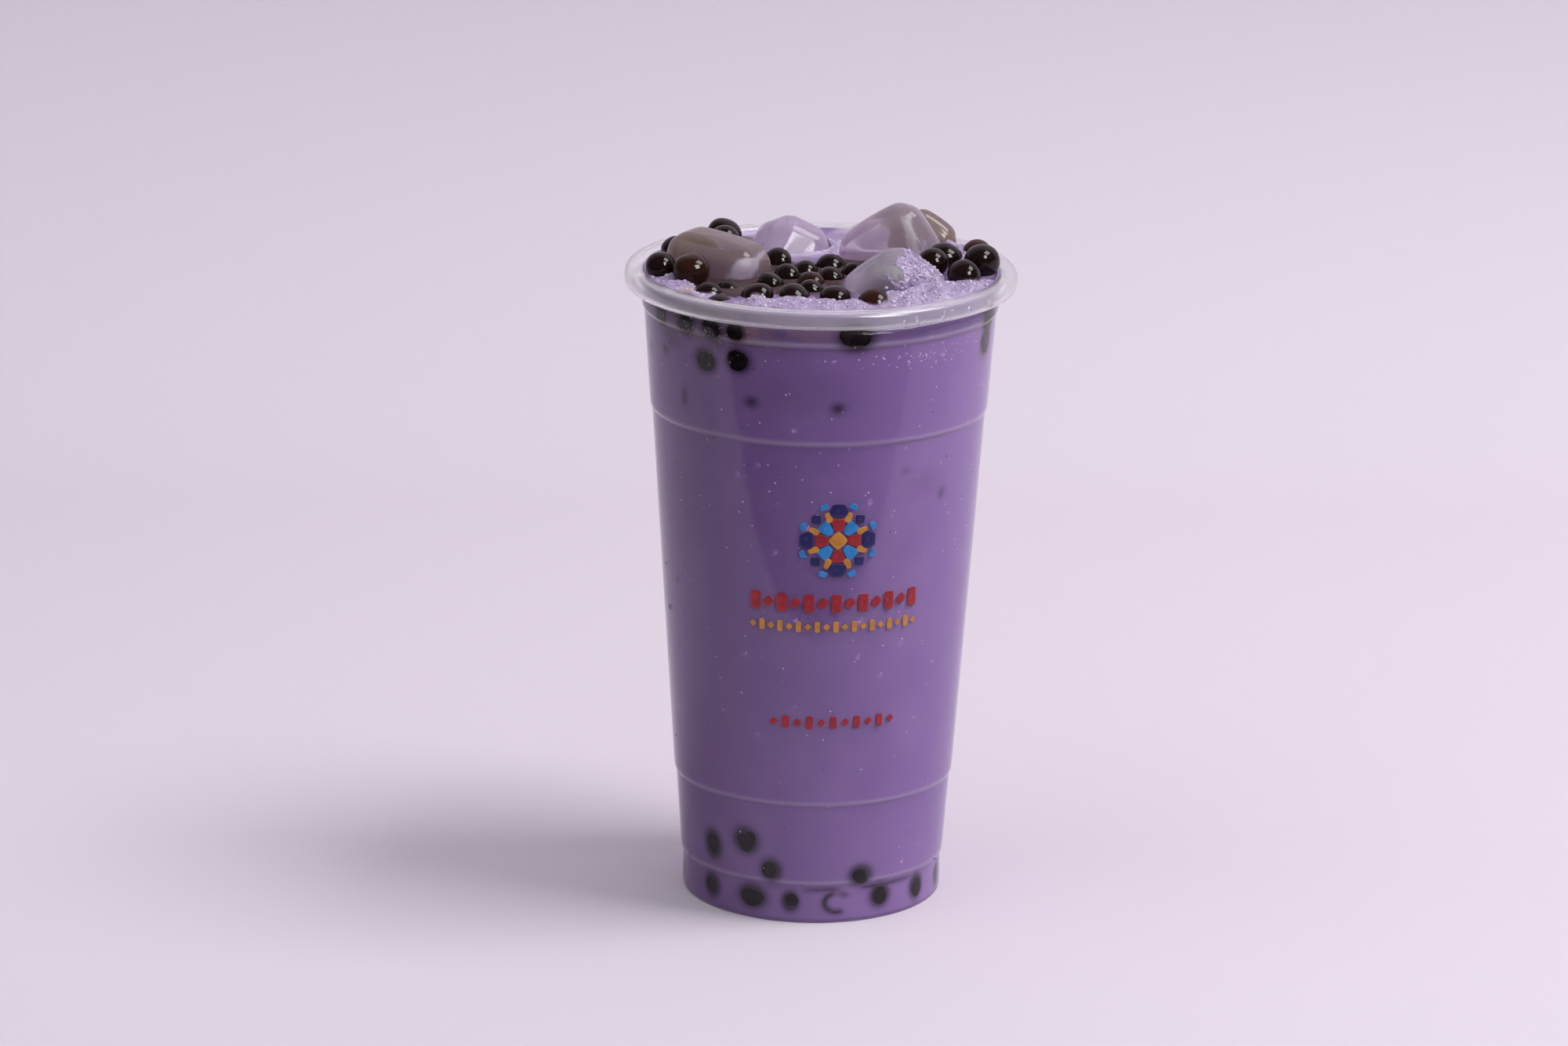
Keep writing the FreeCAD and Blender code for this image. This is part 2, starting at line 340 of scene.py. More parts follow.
points, faces = skin(turned(body_outline[1:-1], cup_sides), (0, 0, floor_under * mm), (0, 0, floor_top * mm))
body_plastic = clear_plastic("clear plastic", (0.97, 0.965, 0.98, 1), 0.0, 0.04, 1.42)
cup = add_mesh("clear_cup", points, faces, body_plastic)

ring = turned(rim_outline[:-1], cup_sides)
faces = quads(*ring.shape[:2], True).tolist()
last, here = len(faces), np.arange(cup_sides)
beside = (here + 1) % cup_sides
faces += np.stack([last + here, last + beside, beside, here], 1).tolist()
rim_plastic = clear_plastic("clear rim", (0.93, 0.925, 0.94, 1), 0.07, 0.14, 1.32)
rim = add_mesh("rolled_rim", ring, faces, rim_plastic)
for piece in (cup, rim):
    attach(piece, "root")
    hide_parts("cup")


# ---- Froth ----
# Banks of fine milk bubbles that float on the drink, mostly along the front and right of the mouth: uneven
# sheets that thin out at their edges and end where an ice cube stands in them.

def bumps(points, waves, seed, low=1.2, high=3.2):
    """Smooth random field between about -1 and 1: a sum of sine waves along random directions."""
    noise = np.random.default_rng(seed)
    along = noise.normal(size=(waves, 3))
    along *= noise.uniform(low, high, (waves, 1)) / np.linalg.norm(along, axis=1, keepdims=True)
    phase = noise.uniform(0, 2 * np.pi, waves)
    return np.sin(points @ along.T + phase).sum(-1) / np.sqrt(waves)


def joined(parts):
    """One (points, faces) out of several."""
    points, faces, count = [], [], 0
    for part_points, part_faces in parts:
        points.append(part_points.reshape(-1, 3))
        faces += [[corner + count for corner in face] for face in part_faces]
        count += len(points[-1])
    return np.concatenate(points), faces


def directions(rows, around):
    """Rings of unit vectors from just above the lowest point of a ball to just below the highest."""
    polar = np.pi * np.arange(1, rows) / rows
    angle = np.arange(around) * 2 * np.pi / around
    flat = np.sin(polar)[:, None]
    return np.stack([flat * np.cos(angle), flat * np.sin(angle), -np.cos(polar)[:, None] + 0 * angle], 2)


def field(tree, name):
    """Output of a number per point of the mesh."""
    node = tree.nodes.new("ShaderNodeAttribute")
    node.attribute_name = name
    return node.outputs["Fac"]


def cloudy_grain():
    """Node group of a cloudy pattern in object space, pushed to 0 below Low and to 1 above High."""
    group = bpy.data.node_groups.new("cloudy grain", "ShaderNodeTree")
    for name in ("Scale", "Detail", "Low", "High"):
        group.interface.new_socket(name, in_out="INPUT", socket_type="NodeSocketFloat")
    group.interface.new_socket("Share", in_out="OUTPUT", socket_type="NodeSocketFloat")
    given = group.nodes.new("NodeGroupInput").outputs
    place = group.nodes.new("ShaderNodeTexCoord").outputs["Object"]
    noise = group.nodes.new("ShaderNodeTexNoise")
    spread = group.nodes.new("ShaderNodeMapRange")
    spread.interpolation_type = "SMOOTHSTEP"
    result = group.nodes.new("NodeGroupOutput").inputs
    for output, socket in (
        (place, noise.inputs["Vector"]), (given["Scale"], noise.inputs["Scale"]),
        (given["Detail"], noise.inputs["Detail"]), (noise.outputs["Fac"], spread.inputs["Value"]),
        (given["Low"], spread.inputs["From Min"]), (given["High"], spread.inputs["From Max"]),
        (spread.outputs["Result"], result["Share"]),
    ):
        group.links.new(output, socket)
    return group


grain_nodes = cloudy_grain()


def grain(tree, scale, detail, low, high):
    """Output of the cloudy pattern, placed in a material with its own values."""
    node = tree.nodes.new("ShaderNodeGroup")
    node.node_tree = grain_nodes
    for name, value in (("Scale", scale), ("Detail", detail), ("Low", low), ("High", high)):
        node.inputs[name].default_value = value
    return node.outputs["Share"]


def shell(top, below, keep):
    """(points, faces) of the kept cells of a grid that closes on itself, between two layers of points."""
    cells = quads(*top.shape[:2], True)[keep.ravel()]
    count = top.shape[0] * top.shape[1]
    edges = np.concatenate([cells[:, [0, 1]], cells[:, [1, 2]], cells[:, [2, 3]], cells[:, [3, 0]]])
    known = set(map(tuple, edges.tolist()))
    rims = np.array([edge for edge in known if (edge[1], edge[0]) not in known])
    walls = np.stack([rims[:, 1], rims[:, 0], rims[:, 0] + count, rims[:, 1] + count], 1)
    used, faces = np.unique(np.concatenate([cells, cells[:, ::-1] + count, walls]), return_inverse=True)
    return np.concatenate([top.reshape(-1, 3), below.reshape(-1, 3)])[used], faces.reshape(-1, 4).tolist()


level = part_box("milk_tea")[1].z
mounds = np.array((
    # bearing, share of the mouth's radius, radius, height
    (196, 0.92, 5.5, 2.16), (209, 0.94, 6.0, 2.4), (223, 0.95, 6.0, 2.16),
    (247, 0.90, 7.0, 2.4), (259, 0.88, 8.0, 3.12), (271, 0.90, 7.5, 2.88), (282, 0.90, 7.0, 2.4),
    (293, 0.93, 6.0, 1.68), (306, 0.85, 9.0, 3.84), (318, 0.85, 8.5, 3.84), (331, 0.88, 7.5, 2.88),
    (343, 0.93, 6.0, 2.16), (8, 0.80, 7.0, 3.36), (20, 0.84, 8.5, 5.28), (33, 0.78, 8.0, 4.8),
    (88, 0.62, 8.5, 1.68), (98, 0.78, 7.0, 1.44),
))
blending = 3.0


def froth_height(x, y):
    """Height of the froth above the drink.

    Each mound is the cap of a ball. Together they are as high as the root of the sum of their powers, so that
    overlapping ones run together, and slow waves thin them out to nothing at their edges.
    """
    total = 0.0
    for bearing, share, radius, tall in mounds:
        angle = np.radians(bearing)
        away = np.hypot(x / mm - share * mouth * np.cos(angle), y / mm - share * mouth * np.sin(angle))
        curve = (radius ** 2 + tall ** 2) / (2 * tall)
        cap = np.sqrt(np.maximum(curve ** 2 - away ** 2, 0)) - (curve - tall)
        total = total + np.maximum(cap, 0) ** blending
    place = np.stack([x, y, 0 * x], -1) / mm
    uneven = 0.78 + 0.20 * bumps(place, 9, 3, 0.5, 1.1)
    return mm * (total ** (1 / blending) * uneven - 0.25 - 0.12 * bumps(place, 12, 4, 1.5, 3.0))


cubes = {
    # name: ((width, depth, height), (turn, lean, roll), film on it)
    "ice_left": ((26.0, 18.0, 23.0), (-26, 6, 9), 1.0),
    "ice_middle": ((18.0, 18.0, 19.0), (24, 22, 32), 0.0),
    "ice_back": ((24.0, 13.0, 21.0), (-6, 4, -32), 0.46),
    "ice_far": ((15.0, 9.0, 15.0), (-14, 0, 34), 1.0),
    "ice_front": ((22.0, 18.0, 22.0), (4, -26, 44), 0.10),
}
cube_centres = {name: np.array(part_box(name)).mean(0) for name in cubes}
melted_edge = 6.0


def turns(turn, lean, roll):
    """Rotation matrix: roll about Y, then lean about X, then turn about Z, in degrees."""
    a, b, c = np.radians((turn, -lean, roll))
    about_z = np.array(((np.cos(a), -np.sin(a), 0), (np.sin(a), np.cos(a), 0), (0, 0, 1)))
    about_x = np.array(((1, 0, 0), (0, np.cos(b), -np.sin(b)), (0, np.sin(b), np.cos(b))))
    about_y = np.array(((np.cos(c), 0, np.sin(c)), (0, 1, 0), (-np.sin(c), 0, np.cos(c))))
    return about_z @ about_x @ about_y


def cube_shape(sides):
    """(half sizes of the core, rounding) of a cube, in metres. The core is the cube less its rounded edges."""
    rounding = min(melted_edge, 0.48 * min(sides))
    return mm * (np.array(sides) / 2 - rounding), mm * rounding


def ice_distance(points, name):
    """Distance from points to an ice cube, below zero inside: that to the cube's core, less the rounding."""
    sides, tilt, _ = cubes[name]
    core, rounding = cube_shape(sides)
    local = (points - cube_centres[name]) @ turns(*tilt)
    over = np.abs(local) - core
    return np.linalg.norm(np.maximum(over, 0), axis=-1) + np.minimum(over.max(-1), 0) - rounding


def level_rings(radii, around, z):
    """Rings of points round Z at one height, one for each radius."""
    angle = np.arange(around) * 2 * np.pi / around
    radii = radii[:, None]
    return np.stack([radii * np.cos(angle), radii * np.sin(angle), np.full((len(radii), around), z)], 2)


highest_froth = 4.6
froth_rings, froth_around = 200, 600
foam = level_rings(mouth * mm * (1 - np.linspace(0, 1, froth_rings)[:-1]), froth_around, 0.0)
thick = froth_height(foam[..., 0], foam[..., 1])
fine = 0.10 * mm * bumps(foam / mm, 24, 5, 4, 7) + 0.07 * mm * bumps(foam / mm, 24, 6, 8, 12)
foam[..., 2] = level + np.minimum(thick, highest_froth * mm) + fine
inside = thick > 0.05 * mm
for name in cubes:
    inside &= ice_distance(foam, name) > -0.3 * mm
keep = inside[:-1] & inside[1:]
keep = keep & np.roll(keep, -1, 1)
froth_depth = 0.6
points, faces = shell(foam, foam * (1, 1, 0) + (0, 0, level - froth_depth * mm), keep)
froth_material, tree, shader = new_material("froth")
foam_colour = blend(tree, grain(tree, 1100, 2, 0.38, 0.62), (0.27, 0.205, 0.35, 1), (0.375, 0.31, 0.47, 1))
foam_colour = blend(tree, grain(tree, 160, 2, 0.62, 0.76), foam_colour, (0.27, 0.19, 0.20, 1))
foam_colour = blend(tree, field(tree, "tan"), foam_colour, (0.38, 0.27, 0.22, 1))
tree.links.new(foam_colour, shader.inputs["Base Color"])
shader.inputs["Roughness"].default_value = 0.35
stain_x, stain_y, stain_reach = -31, -25, 3.5
away = np.hypot(points[:, 0] / mm - stain_x, points[:, 1] / mm - stain_y)
froth = add_mesh("froth", points, faces, froth_material, tan=np.clip(1.3 - away / stain_reach, 0, 1))
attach(froth, "root")
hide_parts(*[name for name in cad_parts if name.startswith("froth_")])


# ---- Tapioca pearls ----
# Boiled brown-sugar tapioca balls, almost black with a reddish brown glow at their thin places. Each is a
# little flattened and lumpy, and floats wet between the ice cubes with froth clinging to its foot.

pearl_names = sorted(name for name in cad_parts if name.startswith("pearl_"))
pearl_boxes = np.array([[list(corner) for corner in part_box(name)] for name in pearl_names])
pearl_centres = pearl_boxes.mean(1)
pearl_radii = (pearl_boxes[:, 1] - pearl_boxes[:, 0]).mean(1) / 2
ball = directions(28, 40)
poles = np.array(((0, 0, -1.0), (0, 0, 1.0)))
lump_share = 0.038
lumpiest = {"pearl_left_2": 0.055}


def lumpy_ball(centre, radius, seed, flat=0.90, lump=lump_share):
    """(points, faces) of a pearl: a ball pressed a little flat, with soft lumps, turned at random."""
    noise = np.random.default_rng(seed)
    turn = turns(*noise.uniform((0, -28, -28), (360, 28, 28)))
    shape = []
    for unit in (ball, poles):
        swell = 1.0 - lump + lump * bumps(unit, 6, seed, 2.0, 4.5)[..., None]
        shape.append(centre + radius * swell * (unit * (1, 1, flat)) @ turn.T)
    return skin(shape[0], shape[1][0], shape[1][1])


parts = [lumpy_ball(centre, radius, number, lump=lumpiest.get(name, lump_share))
         for number, (name, centre, radius) in enumerate(zip(pearl_names, pearl_centres, pearl_radii))]
points, faces = joined(parts)
each = len(parts[0][0])
warmest = {"pearl_left_2": 0.7, "pearl_front_4": 0.8, "pearl_right_5": 1.0, "pearl_middle_5": 0.6}
warm = np.repeat([warmest.get(name, 0.15) for name in pearl_names], each)
buried = level + froth_height(points[:, 0], points[:, 1]) - points[:, 2]
film = np.clip(0.5 + (buried / mm - 0.05 + 0.40 * bumps(points / mm, 12, 9, 1.5, 3.5)) / 0.8, 0, 1)
tapioca, tree, shader = new_material("tapioca")
brown = blend(tree, field(tree, "warm"), (0.006, 0.003, 0.003, 1), (0.034, 0.011, 0.007, 1))
brown = blend(tree, field(tree, "film"), brown, (0.34, 0.27, 0.38, 1))
tree.links.new(brown, shader.inputs["Base Color"])
shader.inputs["Roughness"].default_value = 0.09
shader.inputs["IOR"].default_value = 1.31
pearls = add_mesh("pearls", points, faces, tapioca, warm=warm, film=film)
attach(pearls, "root")
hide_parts(*pearl_names)


# ---- Ice cubes ----
# Machine-made cubes of clear ice, melted round at every edge. They stand out of the drink with a thin tinted
# film on them. A few patches are rougher and painted paler, a painted reflection of the window. Froth has dried
# on the right of the front one.

cube_rings = directions(110, 140)


def melted_cube(name, grow=0.0, rings=cube_rings):
    """(rings of points, two end points) of a cube, moved outwards by grow.

    A ray from the centre meets a box, the nearest point of the core is found from there, and the point a
    rounding away from the core is dented by slow waves and pressed in where the ray nears an edge.
    """
    sides, tilt, _ = cubes[name]
    core, rounding = cube_shape(sides)
    shape = []
    for unit in (rings, poles):
        box = unit / np.abs(unit).max(-1, keepdims=True) * (core + rounding)
        inner = np.clip(box, -core, core)
        out = (box - inner) / np.linalg.norm(box - inner, axis=-1, keepdims=True)
        dent = 0.30 * (bumps(box / mm, 7, len(name), 0.15, 0.42)[..., None] - 1.0)
        dent -= 1.7 * (1 - np.abs(unit).max(-1, keepdims=True))
        shape.append(cube_centres[name] + (inner + (rounding + (dent + grow) * mm) * out) @ turns(*tilt).T)
    return shape


parts = [skin(rings_, *ends) for rings_, ends in map(melted_cube, cubes)]
points, faces = joined(parts)
film = np.repeat([values[2] for values in cubes.values()], len(parts[0][0]))
frost = np.zeros(len(points))
for name, x, z, wide, tall, lean in (
    # cube, then the painted reflection: sideways and above the cube's centre, half width, half height, its
    # slant
    ("ice_left", 7.4, 5.4, 3.4, 2.6, 0.55), ("ice_middle", 2.0, 3.6, 3.0, 3.2, 0.9),
    ("ice_back", 4.6, 5.6, 1.3, 4.2, -0.25), ("ice_front", -1.0, 8.6, 4.0, 1.4, 0.0),
):
    away = (points - cube_centres[name]) / mm
    up = away[:, 2] - z
    patch = np.maximum(np.abs(away[:, 0] - x - lean * up) / wide, np.abs(up) / tall)
    patch += 0.10 * bumps(points / mm, 10, 31, 0.8, 2.0)
    near = (np.abs(away) < 14).all(1) & (away[:, 1] < 0)
    frost = np.maximum(frost, near * np.clip((1.1 - patch) / 0.35, 0, 1))
ice_material, tree, shader = new_material("ice")
cloudy = blend(tree, field(tree, "film"), (0.84, 0.735, 0.90, 1), (0.36, 0.285, 0.24, 1))
# Painted reflection: paler where the window would be mirrored, and rougher there as well
cloudy = blend(tree, field(tree, "frost"), cloudy, (0.90, 0.86, 0.92, 1))
tree.links.new(cloudy, shader.inputs["Base Color"])
matt = tree.nodes.new("ShaderNodeMapRange")
matt.inputs["To Min"].default_value = 0.05
matt.inputs["To Max"].default_value = 0.42
tree.links.new(field(tree, "frost"), matt.inputs["Value"])
tree.links.new(matt.outputs["Result"], shader.inputs["Roughness"])
shader.inputs["Metallic"].default_value = 0
shader.inputs["Transmission Weight"].default_value = 0.72
shader.inputs["IOR"].default_value = 1.31
let_light_through(tree, shader)
ice = add_mesh("ice", points, faces, ice_material, film=film, frost=frost)
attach(ice, "root")
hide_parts(*cubes)

# Froth on the front cube, thickest low on its right
fine_rings = directions(230, 300)
outer, _ = melted_cube("ice_front", 0.10, fine_rings)
inner, _ = melted_cube("ice_front", -0.25, fine_rings)
across = (outer[..., 0] - cube_centres["ice_front"][0]) / mm
above = (outer[..., 2] - level) / mm
cover = 0.9 * across - 0.75 * above + 4.0 + 2.4 * bumps(outer / mm, 14, 11, 0.5, 1.8)
cover = np.where(above > -0.5, cover, -9)
outer += 0.07 * mm * bumps(outer / mm, 30, 12, 2.5, 6)[..., None] * (0.3, -0.5, 0.8)
keep = (cover[:-1] > 0) & (cover[1:] > 0)
points, faces = shell(outer, inner, keep & np.roll(keep, -1, 1))
crust = add_mesh("froth_on_ice", points, faces, froth_material, tan=np.zeros(len(points)))
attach(crust, "root")


# ---- Milk tea ----
# Purple yam milk tea up to the brim. It lies against the cup, climbs a little at the wall, the ice and the
# pearls, and is brown where the syrup lies on it. It is darker over pearls that have sunk in it.

inset = wall - 0.15
sunk = np.array((
    # bearing, height, width, height over width, how near the wall: 1 touches it
    (207.5, 149.6, 5.4, 0.9, 1), (221.3, 149.8, 6.4, 0.9, 1), (232.8, 149.9, 6.0, 0.9, 1),
    (241.8, 150.1, 5.0, 0.9, 1), (281.5, 150.4, 8.4, 0.8, 1), (340.5, 150.0, 8.0, 1.15, 1),
    (340.0, 143.2, 6.0, 1.1, 1), (208.6, 141.3, 4.4, 0.9, 0.8), (195.6, 139.6, 4.0, 1.0, 0.7),
    (229.6, 141.6, 6.0, 0.9, 1), (242.4, 143.0, 6.0, 0.9, 1), (218.8, 131.0, 3.0, 2.2, 0.6),
    (247.0, 133.2, 5.0, 0.8, 0.75), (276.1, 132.6, 5.0, 0.8, 0.85), (318.7, 108.3, 3.6, 1.2, 0.5),
    (301.7, 115.6, 3.2, 0.8, 0.3), (212.0, 146.0, 12.0, 0.7, 0.55), (235.0, 146.5, 10.0, 0.7, 0.45),
    # The two widest marks are no pearls: they only darken the drink faintly over a broad area
    (262.0, 136.0, 34.0, 0.38, 0.14), (310.0, 112.0, 14.0, 0.6, 0.14),
    (222.1, 17.0, 5.4, 1.3, 1), (240.4, 20.3, 6.2, 1.0, 1), (252.1, 13.5, 4.8, 1.1, 1),
    (291.6, 12.3, 5.4, 0.9, 1), (219.9, 5.9, 5.0, 1.1, 1), (242.8, 5.8, 7.0, 0.8, 1),
    (260.6, 5.6, 4.0, 1.2, 1), (301.8, 6.2, 5.2, 1.1, 1),
    (323.9, 5.8, 4.6, 1.3, 1), (345.6, 5.2, 4.2, 1.3, 1), (187.2, 4.6, 3.6, 1.2, 1),
    (200.0, 12.8, 1.8, 1.0, 0.6),
))


def wall_distance(points, bearing, z, width, tall):
    """Distance over the wall from a mark, where 1 is its edge.

    The way round and the way up, each over the mark's half size, are joined as the sides of a right angle.
    """
    angle = np.arctan2(points[..., 1], points[..., 0])
    around = np.angle(np.exp(1j * (angle - np.radians(bearing))))
    radius = np.hypot(points[..., 0], points[..., 1])
    return np.hypot(around * radius / (width * mm / 2), (points[..., 2] - z * mm) / (width * tall * mm / 2))


def climb(distance, rise, reach):
    """Height of a liquid's edge that climbs something: rise at its foot, less by e for every reach."""
    return rise * np.exp(-np.maximum(distance, 0) / reach)


under_floor, under_heel = 1.5, 0.4
side = rounded([
    (0, under_floor, 0), (foot - 4.3, under_floor, 0.4), (foot - 3.5, under_heel, 0.4),
    (foot - inset, under_heel, 1.0), *side_corners(inset), (neck - inset, level / mm, 0),
], most=0.8)
around = 400
side_rings = turned(side[1:-1], around)
reach = (neck - inset) * mm
top = level_rings(reach * (1 - np.linspace(0, 1, 140)[:-1] ** 1.15), around, level)
flat = np.hypot(top[..., 0], top[..., 1])
lift = climb(reach - flat, 0.9 * mm, 0.9 * mm)
for centre, radius in zip(pearl_centres, pearl_radii):
    waterline = np.sqrt(max(radius ** 2 - (centre[2] - level) ** 2, 0))
    distance = np.hypot(top[..., 0] - centre[0], top[..., 1] - centre[1]) - waterline
    lift = np.maximum(lift, climb(distance, 0.55 * mm, 0.7 * mm))
# Painted shade: the drink is darker where its surface dips inside an ice cube, fully so a millimetre in
pit = np.zeros(top.shape[:2])
for name in cubes:
    distance = ice_distance(top, name)
    lift = np.maximum(lift, climb(distance, 0.7 * mm, 0.8 * mm))
    pit = np.maximum(pit, np.clip(-distance / mm, 0, 1))
    lift = np.where(distance < 0, 0.7 * mm + 1.6 * distance, lift)
top[..., 2] += lift
body_rings = np.concatenate([side_rings, top])
points, faces = skin(body_rings, (0, 0, under_floor * mm), (0, 0, level))
shade = np.zeros(points.shape[0])
for *place, near in sunk:
    distance = wall_distance(points, *place)
    if near < 1:
        shade = np.maximum(shade, near * np.exp(-1.6 * distance ** 2))
    else:
        shade = np.maximum(shade, 0.9 * np.exp(-3.5 * np.maximum(distance - 0.75, 0) ** 2))

# A pearl at the foot shows as an open ring, and a dark line lies under the lowest ring of the cup
ring_bearing, ring_x, ring_z = 281.3, 6.2, 5.4
distance = wall_distance(points, ring_bearing, ring_z, 7.6, 0.8)
round_mark = np.arctan2(points[:, 2] - ring_z * mm, points[:, 0] - ring_x * mm)
opened = np.clip(0.85 - np.cos(round_mark) - 0.5 * np.cos(3 * round_mark + 1), 0, 1)
shade = np.maximum(shade, np.exp(-((distance - 0.80) / 0.24) ** 2) * opened)
around_wall = np.degrees(np.arctan2(points[:, 1], points[:, 0])) % 360
line_bearing, line_spread = 292, 40
dark_line = 0.9 * np.exp(-((points[:, 2] / mm - rings[0] + 0.9) / 0.7) ** 2)
dark_line *= np.clip(1.3 - np.abs(around_wall - line_bearing) / line_spread, 0, 1)
dark_line *= np.clip(0.7 + 0.6 * bumps(points / mm, 12, 35, 0.3, 1.0), 0, 1)
shade = np.maximum(shade, dark_line)

puddles = np.array((
    # sideways, depth, reach across, reach in depth, strength: where syrup lies on the drink
    (-4, -8, 22, 19, 1.0), (-22, -18, 15, 11, 1.0), (9, 2, 14, 13, 1.0),
    (31, 8, 7, 8, 0.9), (-33, 5, 8, 12, 0.6), (-20, 26, 12, 10, 0.8),
))
syrup = np.zeros(points.shape[0])
for x, y, wide, deep, strength in puddles:
    distance = np.hypot((points[:, 0] / mm - x) / wide, (points[:, 1] / mm - y) / deep)
    distance += 0.16 * bumps(points / mm, 10, 21, 0.3, 1.2)
    syrup = np.maximum(syrup, strength * np.clip((1.1 - distance) / 0.35, 0, 1))
syrup *= points[:, 2] > level - 0.5 * mm
pit = np.concatenate([np.zeros(side_rings.shape[:2]).ravel(), pit.ravel(), [0, 0]])

# Shares for the colour: where the surface is seen from above, is paler, gets painted shade under the rim, gets
# a painted highlight at a ring of the cup, or has residue on it
rim_shade_foot = 146.5
residue_bearing, residue_height = 240, 150.5
above = np.clip((points[:, 2] - level) / (0.6 * mm) + 0.6, 0, 1)
pale = above * np.clip((points[:, 1] / mm - 9) / 7, 0, 1)
pale *= np.clip(0.85 + 0.5 * bumps(points / mm, 16, 34, 0.4, 1.5), 0, 1)
# Painted shade: the side darkens towards the rim, where the rim's shadow falls
under_rim = 0.95 * np.clip((points[:, 2] / mm - rim_shade_foot) / 4, 0, 1) * (1 - above)
# Painted highlight: a light band at the top of each ring's step, where its curved plastic would mirror light
glow = 0.55 * np.exp(-((points[:, 2:] / mm - rings - step_rise) / 0.5) ** 2).max(1)
residue = -((around_wall - residue_bearing) / 36) ** 2 - ((points[:, 2] / mm - residue_height) / 4.2) ** 4
residue = np.exp(residue)
residue *= np.clip(0.75 + 0.55 * bumps(points / mm, 16, 33, 0.4, 1.8), 0, 1)

milk, tree, shader = new_material("milk tea")
purple = blend(tree, grain(tree, 45, 3, 0.35, 0.7), (0.236, 0.137, 0.352, 1), (0.260, 0.155, 0.373, 1))
purple = blend(tree, field(tree, "above"), purple, (0.22, 0.150, 0.300, 1))
purple = blend(tree, field(tree, "pale"), purple, (0.46, 0.39, 0.54, 1))
# Painted shade under the rim
purple = blend(tree, field(tree, "under_rim"), purple, (0.080, 0.050, 0.130, 1))
purple = blend(tree, field(tree, "residue"), purple, (0.19, 0.11, 0.155, 1))
# Painted highlight at the rings
purple = blend(tree, field(tree, "glow"), purple, (0.42, 0.33, 0.50, 1))
purple = blend(tree, field(tree, "shade"), purple, (0.018, 0.013, 0.020, 1))
purple = blend(tree, field(tree, "syrup"), purple, (0.060, 0.035, 0.040, 1))
# Painted shade where the surface dips inside an ice cube
purple = blend(tree, field(tree, "pit"), purple, (0.105, 0.062, 0.130, 1))
tree.links.new(purple, shader.inputs["Base Color"])
shader.inputs["Roughness"].default_value = 0.18
shader.inputs["IOR"].default_value = 1.34
shader.inputs["Specular IOR Level"].default_value = 0.15
tea = add_mesh("ube_milk_tea", points, faces, milk, shade=shade, pit=pit, syrup=syrup, above=above, pale=pale,
               glow=glow, under_rim=under_rim, residue=residue)
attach(tea, "root")
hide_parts("milk_tea")


# ---- Sunk pearls ----
# Tapioca pearls that have sunk in the drink and lie against the cup. Each is pressed flat where it touches the
# wall, and those at the foot are a little torn.

torn_below = 30
pressed_lump, torn_lump = 0.05, 0.13
spread, set_back = 1.22, 0.62
lowest_point = 1.8


def pressed_ball(bearing, z, width, tall, seed):
    """(points, faces) of a lumpy ball behind the wall, its outer side pressed flat against the wall.

    Its radius is half its width times spread, and its centre lies set_back of that radius inside the wall.
    """
    angle = np.radians(bearing)
    out = np.array((np.cos(angle), np.sin(angle), 0))
    radius = width * mm / 2 * spread
    centre = out * (side_radius(z, inset) * mm - radius * set_back) + (0, 0, z * mm)
    points, faces = lumpy_ball(np.zeros(3), 1.0, seed, 1.0, pressed_lump if z > torn_below else torn_lump)
    points = centre + points * radius * np.array((1, 1, tall))
    flat = np.hypot(points[:, 0], points[:, 1])
    limit = side_radius(points[:, 2] / mm, inset) * mm + 0.06 * mm
    points[:, :2] *= np.minimum(1, limit / flat)[:, None]
    points[:, 2] = np.maximum(points[:, 2], lowest_point * mm)
    return points, faces


at_wall = sunk[sunk[:, 4] == 1, :4]
points, faces = joined([pressed_ball(*mark, 90 + number) for number, mark in enumerate(at_wall)])
dark, tree, shader = new_material("sunk tapioca")
dull = blend(tree, grain(tree, 600, 2, 0.4, 0.6), (0.005, 0.003, 0.005, 1), (0.014, 0.007, 0.009, 1))
tree.links.new(dull, shader.inputs["Base Color"])
shader.inputs["Roughness"].default_value = 0.5
shader.inputs["Specular IOR Level"].default_value = 0.0
sunk_pearls = add_mesh("sunk_pearls", points, faces, dark)
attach(sunk_pearls, "root")


# ---- Print ----
# Ink printed on the cup's front: a mosaic rosette over three rows of tiles, in four flat colours. Each tile is
# a very thin film on the plastic.

inks = {
    "navy": (0.012, 0.010, 0.12, 1), "sky": (0.01, 0.22, 0.58, 1),
    "crimson": (0.34, 0.006, 0.018, 1), "ochre": (0.56, 0.23, 0.02, 1),
}
print_bearing = 277.3
outline_angle = np.arange(28) * 2 * np.pi / 28
square = np.stack([np.sign(np.cos(outline_angle)) * np.abs(np.cos(outline_angle)) ** 0.35,
                   np.sign(np.sin(outline_angle)) * np.abs(np.sin(outline_angle)) ** 0.35], 1) / 2


